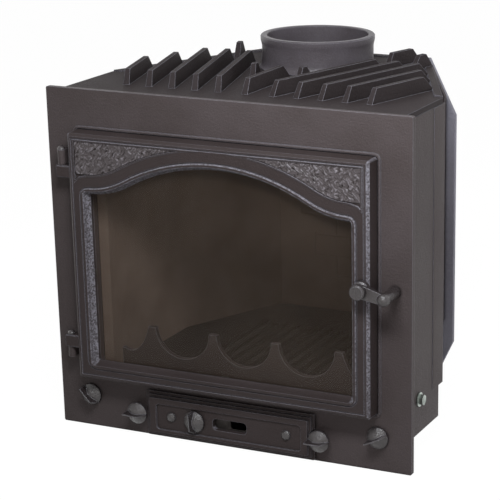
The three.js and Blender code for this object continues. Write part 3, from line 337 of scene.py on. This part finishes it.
# The start of a node's name decides its material; the first line that fits holds.
LOOKS = [
    (paint, ("front_frame", "side_wall")),
    (paint_top, ("top_plate",)),
    (paint_collar, ("flue_collar",)),
    (paint_rear_lit, ("rear_wall",)),
    (paint_door, ("door_frame", "ash_door")),
    (paint_dark, ("knob", "slider_knob", "ash_box", "latch", "ash_rivet", "hinge_pin")),
    (floor_iron, ("base_plate", "grate")),
    (fire_iron, ("log_guard",)),
    (lining_iron, ("fireback", "side_liner", "baffle")),
    (glass, ("door_glass",)),
    (rope, ("glass_gasket", "door_rope")),
    (zinc, ("side_bolt",)),
    (dull_steel, ("air_slider", "slider_guide", "ash_pan")),
    (steel, ("",)),
]
for name, obj in nodes.items():
    obj.data.materials.clear()
    obj.data.materials.append(next(look for look, starts in LOOKS if name.startswith(starts)))


# ---------------------------------------------------------------- smooth shading of the castings

SMOOTH_ANGLE = math.radians(32)

for obj in nodes.values():
    mesh = obj.data
    if "custom_normal" in mesh.attributes:
        mesh.attributes.remove(mesh.attributes["custom_normal"])
    mesh.polygons.foreach_set("use_smooth", [True] * len(mesh.polygons))
    weld = obj.modifiers.new("weld", "WELD")
    weld.merge_threshold = 0.00001
    split = obj.modifiers.new("split", "EDGE_SPLIT")
    split.split_angle = SMOOTH_ANGLE
    split.use_edge_sharp = False


# ---------------------------------------------------------------- hammered corner fields of the door

# Millimetres. The arch and the fields' edges are those of the door's casting.
DOOR_X = -2.5  # middle of the door
ARCH_HALF = 250.0
ARCH_SHOULDER = 462.0
ARCH_RISE = 65.0
CROWN_SHARE = 0.715
FIELD_OFFSET = 23.0
FIELD_SIDE = 274.0
FIELD_TOP = 544.5
FIELD_FRONT = -37.0  # highest points of the relief
FIELD_DEPTH = 2.4
FIELD_RIM = 2.0  # the lumps sink towards the edge over this width
MESH_STEP = 0.8
LUMP, SMALL_LUMP = 4.6, 3.0
STRETCH = 1.9  # of the lumps along the hammer marks
LEAN = math.radians(55)  # of the hammer marks, down to the right

arch_turn = 2 * math.atan(ARCH_RISE / ARCH_HALF)
arch_radii = ARCH_HALF / math.sin(arch_turn)
crown_radius = arch_radii * CROWN_SHARE
flare_radius = arch_radii - crown_radius


def field_floor(x):
    """Height of the field's lower edge, x millimetres beside the door's middle."""
    crown_r = crown_radius + FIELD_OFFSET
    flare_r = flare_radius - FIELD_OFFSET
    if x <= crown_r * math.sin(arch_turn):
        return ARCH_SHOULDER + ARCH_RISE - crown_radius + math.sqrt(crown_r**2 - x**2)
    if x >= ARCH_HALF:
        return ARCH_SHOULDER + FIELD_OFFSET
    return ARCH_SHOULDER + flare_radius - math.sqrt(flare_r**2 - (ARCH_HALF - x) ** 2)


def lumps(u, v, cell, seed):
    """Rounded lumps with creases between them, from 0 to 1."""
    rng = np.random.default_rng(seed)
    size = 96
    jitter = rng.random((size, size, 2))
    lift = rng.random((size, size))
    gu, gv = u / cell, v / cell
    bu, bv = np.floor(gu).astype(int), np.floor(gv).astype(int)
    nearest = np.full(u.shape, 9.0)
    height = np.zeros(u.shape)
    for du in (-1, 0, 1):
        for dv in (-1, 0, 1):
            iu, iv = (bu + du) % size, (bv + dv) % size
            pu = bu + du + jitter[iu, iv, 0]
            pv = bv + dv + jitter[iu, iv, 1]
            d = np.hypot((gu - pu), (gv - pv) * 1.25)
            nearer = d < nearest
            height = np.where(nearer, lift[iu, iv], height)
            nearest = np.where(nearer, d, nearest)
    dome = np.clip(1 - (nearest / 0.78) ** 2, 0, 1)
    return dome * (0.5 + 0.5 * height)


def relief_height(x, z, floor, side):
    """Height of the hammered relief, from 0 in its creases to 1."""
    u, v = x + side * 40 + 300, z
    warp_u = u + 2.2 * np.sin(v * 0.31 + u * 0.11) + 1.2 * np.sin(v * 0.83)
    warp_v = v + 2.2 * np.sin(u * 0.27 - v * 0.09) + 1.2 * np.sin(u * 0.71)
    along = (warp_u * math.cos(LEAN) - warp_v * math.sin(LEAN)) / STRETCH
    across = warp_u * math.sin(LEAN) + warp_v * math.cos(LEAN)
    height = np.maximum(lumps(along, across, LUMP, 11), 0.8 * lumps(along, across, SMALL_LUMP, 5))
    to_edge = np.minimum.reduce([FIELD_TOP - z, z - floor, FIELD_SIDE - x])
    return height * np.clip(to_edge / FIELD_RIM, 0, 1) ** 0.5


def hammered_field(side, name):
    """One corner field, a sheet over the ground that the door's casting has there."""
    first_x = next(x for x in np.arange(40, 120, 0.5) if field_floor(x) < FIELD_TOP - 0.3)
    columns = np.arange(first_x, FIELD_SIDE + 0.01, MESH_STEP)
    rows = int((FIELD_TOP - ARCH_SHOULDER - FIELD_OFFSET) / MESH_STEP)
    x = np.repeat(columns, rows + 1)
    floor = np.array([field_floor(column) for column in x])
    z = floor + (FIELD_TOP - floor) * np.tile(np.arange(rows + 1), len(columns)) / rows
    height = relief_height(x, z, floor, side)
    y = FIELD_FRONT + FIELD_DEPTH * (1 - height)
    points = np.stack([(DOOR_X + side * x) * MM, y * MM + FACADE_Y, z * MM], 1)
    faces = []
    for i in range(len(columns) - 1):
        for k in range(rows):
            a = i * (rows + 1) + k
            quad = (a, a + rows + 1, a + rows + 2, a + 1)
            faces.append(quad if side > 0 else quad[::-1])
    mesh = bpy.data.meshes.new(name)
    mesh.from_pydata(points.tolist(), [], faces)
    mesh.polygons.foreach_set("use_smooth", [True] * len(mesh.polygons))
    mesh.attributes.new("relief", "FLOAT", "POINT").data.foreach_set("value", height)
    mesh.materials.append(hammered)
    obj = bpy.data.objects.new(name, mesh)
    bpy.context.scene.collection.objects.link(obj)
    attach(obj, "door")


hammered_field(-1, "hammered_field_left")
hammered_field(1, "hammered_field_right")


# ---------------------------------------------------------------- floor and world


def seen_white(g):
    """1 for rays that see the background: straight, through glass or in a reflection."""
    path = g.node("ShaderNodeLightPath").outputs
    seen = g.math("MAXIMUM", path["Is Camera Ray"], path["Is Transmission Ray"])
    return g.math("MAXIMUM", seen, path["Is Glossy Ray"])


FLOOR_REACH = 6.0
FLOOR_Z = -0.0005
FLOOR_GLOW = 0.985  # with its lit grey it comes to about 1, and keeps the object's shadow
WORLD_LIGHT = 0.06

stage_white, g = new_material("stage_white")
seen = seen_white(g)
grey = g.node("ShaderNodeBsdfDiffuse", {"Color": g.remap(seen, 0.0, 1.0, 0.5, 0.06)})
glow = g.node("ShaderNodeEmission", {"Strength": g.math("MULTIPLY", seen, FLOOR_GLOW)})
both = g.node("ShaderNodeAddShader", {0: grey.outputs[0], 1: glow.outputs[0]})
g.finish(both, "ShaderNodeOutputMaterial")

floor_mesh = bpy.data.meshes.new("floor")
corners = [(-1, -1), (1, -1), (1, 1), (-1, 1)]
floor_mesh.from_pydata(
    [(x * FLOOR_REACH, y * FLOOR_REACH, FLOOR_Z) for x, y in corners], [], [(0, 1, 2, 3)]
)
floor_mesh.materials.append(stage_white)
floor = bpy.data.objects.new("floor", floor_mesh)
bpy.context.scene.collection.objects.link(floor)

world = bpy.data.worlds.new("studio")
bpy.context.scene.world = world
world.use_nodes = True
g = Graph(world.node_tree)
dim = g.node("ShaderNodeBackground", {"Color": (1.0, 0.95, 0.92, 1.0), "Strength": WORLD_LIGHT})
white = g.node("ShaderNodeBackground", {"Color": (1.0, 1.0, 1.0, 1.0), "Strength": 1.0})
choice = g.node("ShaderNodeMixShader", {0: seen_white(g), 1: dim.outputs[0], 2: white.outputs[0]})
g.finish(choice, "ShaderNodeOutputWorld")


# ---------------------------------------------------------------- lights and camera


def area_light(name, place, target, size, power, colour):
    lamp = bpy.data.lights.new(name, "AREA")
    lamp.shape = "RECTANGLE"
    lamp.size, lamp.size_y = size
    lamp.energy = power
    lamp.color = colour
    obj = bpy.data.objects.new(name, lamp)
    bpy.context.scene.collection.objects.link(obj)
    obj.location = place
    obj.rotation_euler = (Vector(target) - Vector(place)).to_track_quat("-Z", "Y").to_euler()


COOL, WARM, NEUTRAL = (0.93, 0.96, 1.0), (1.0, 0.96, 0.94), (0.95, 0.95, 1.0)
area_light("key_front", (0.45, -1.05, 1.42), (0.35, 0.6, 1.42), (0.7, 0.5), 29, COOL)
area_light("fill_front", (1.15, -2.25, 0.5), (0.1, -0.1, 0.4), (0.5, 1.1), 8, WARM)
area_light("side_left", (-1.5, 0.35, 0.3), (-0.3, 0.1, 0.3), (0.6, 0.6), 1.6, (1.0, 0.97, 0.95))
area_light("side_right", (1.4, -0.1, 0.45), (0.3, 0.2, 0.4), (0.6, 0.8), 1.4, NEUTRAL)
area_light("rear_right", (1.3, 1.6, 1.3), (0.0, 0.1, 0.4), (0.8, 0.8), 9, (0.95, 0.96, 1.0))

# The camera was fitted to the photograph: the facade's corners, the top's edges and the collar.
CAMERA_PLACE = (1.46623, -2.75647 + FACADE_Y, 1.23911)
YAW, PITCH, ROLL = math.radians(23.012), math.radians(18.257), math.radians(-0.051)
PICTURE_PX = 500
FOCAL_PX = 1855.06
PRINCIPAL_PX = (382.5, 334.21)
SENSOR = 36.0

camera_data = bpy.data.cameras.new("camera")
camera_data.sensor_fit = "HORIZONTAL"
camera_data.sensor_width = SENSOR
camera_data.lens = FOCAL_PX / PICTURE_PX * SENSOR
camera_data.shift_x = (PICTURE_PX / 2 - PRINCIPAL_PX[0]) / PICTURE_PX
camera_data.shift_y = (PRINCIPAL_PX[1] - PICTURE_PX / 2) / PICTURE_PX
camera_data.clip_end = 50.0

ahead = Vector(
    (-math.sin(YAW) * math.cos(PITCH), math.cos(YAW) * math.cos(PITCH), -math.sin(PITCH))
)
right = Vector((math.cos(YAW), math.sin(YAW), 0.0))
up = right.cross(ahead)
tilted_right = right * math.cos(ROLL) + up * math.sin(ROLL)
tilted_up = -right * math.sin(ROLL) + up * math.cos(ROLL)
turn = Matrix((tilted_right, tilted_up, -ahead)).transposed().to_4x4()
camera = bpy.data.objects.new("camera", camera_data)
bpy.context.scene.collection.objects.link(camera)
camera.matrix_world = Matrix.Translation(CAMERA_PLACE) @ turn
bpy.context.scene.camera = camera

bpy.context.scene.view_settings.view_transform = "Standard"
